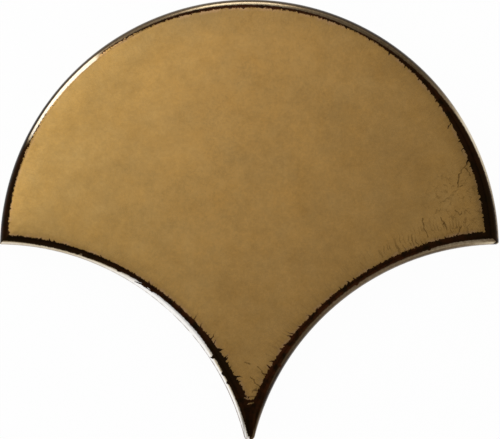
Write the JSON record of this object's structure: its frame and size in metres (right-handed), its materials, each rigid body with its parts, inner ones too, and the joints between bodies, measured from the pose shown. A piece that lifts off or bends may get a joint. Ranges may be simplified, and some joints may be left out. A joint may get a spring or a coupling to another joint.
{
  "type": "fish scale tile",
  "caption": "Fish scale wall tile with a round head, hollow sides and a narrow tip, cushioned edges, a glossy bronze-gold glaze and a keyed back.",
  "frame": {"origin": "middle of the outline's bounding box, on the plane of the back", "axes": "+Z out of the glazed face, +Y towards the round head, -Y towards the tip, +X to the right as seen from the face"},
  "size_m": [0.12, 0.106, 0.0085],
  "materials": {
    "glaze": "glossy metallic bronze-gold glaze, near black and crazed at the rim, over a raw buff body that shows on the foot and back"
  },
  "bodies": {
    "root": {"fan_tile": "glaze"}
  },
  "joints": []
}
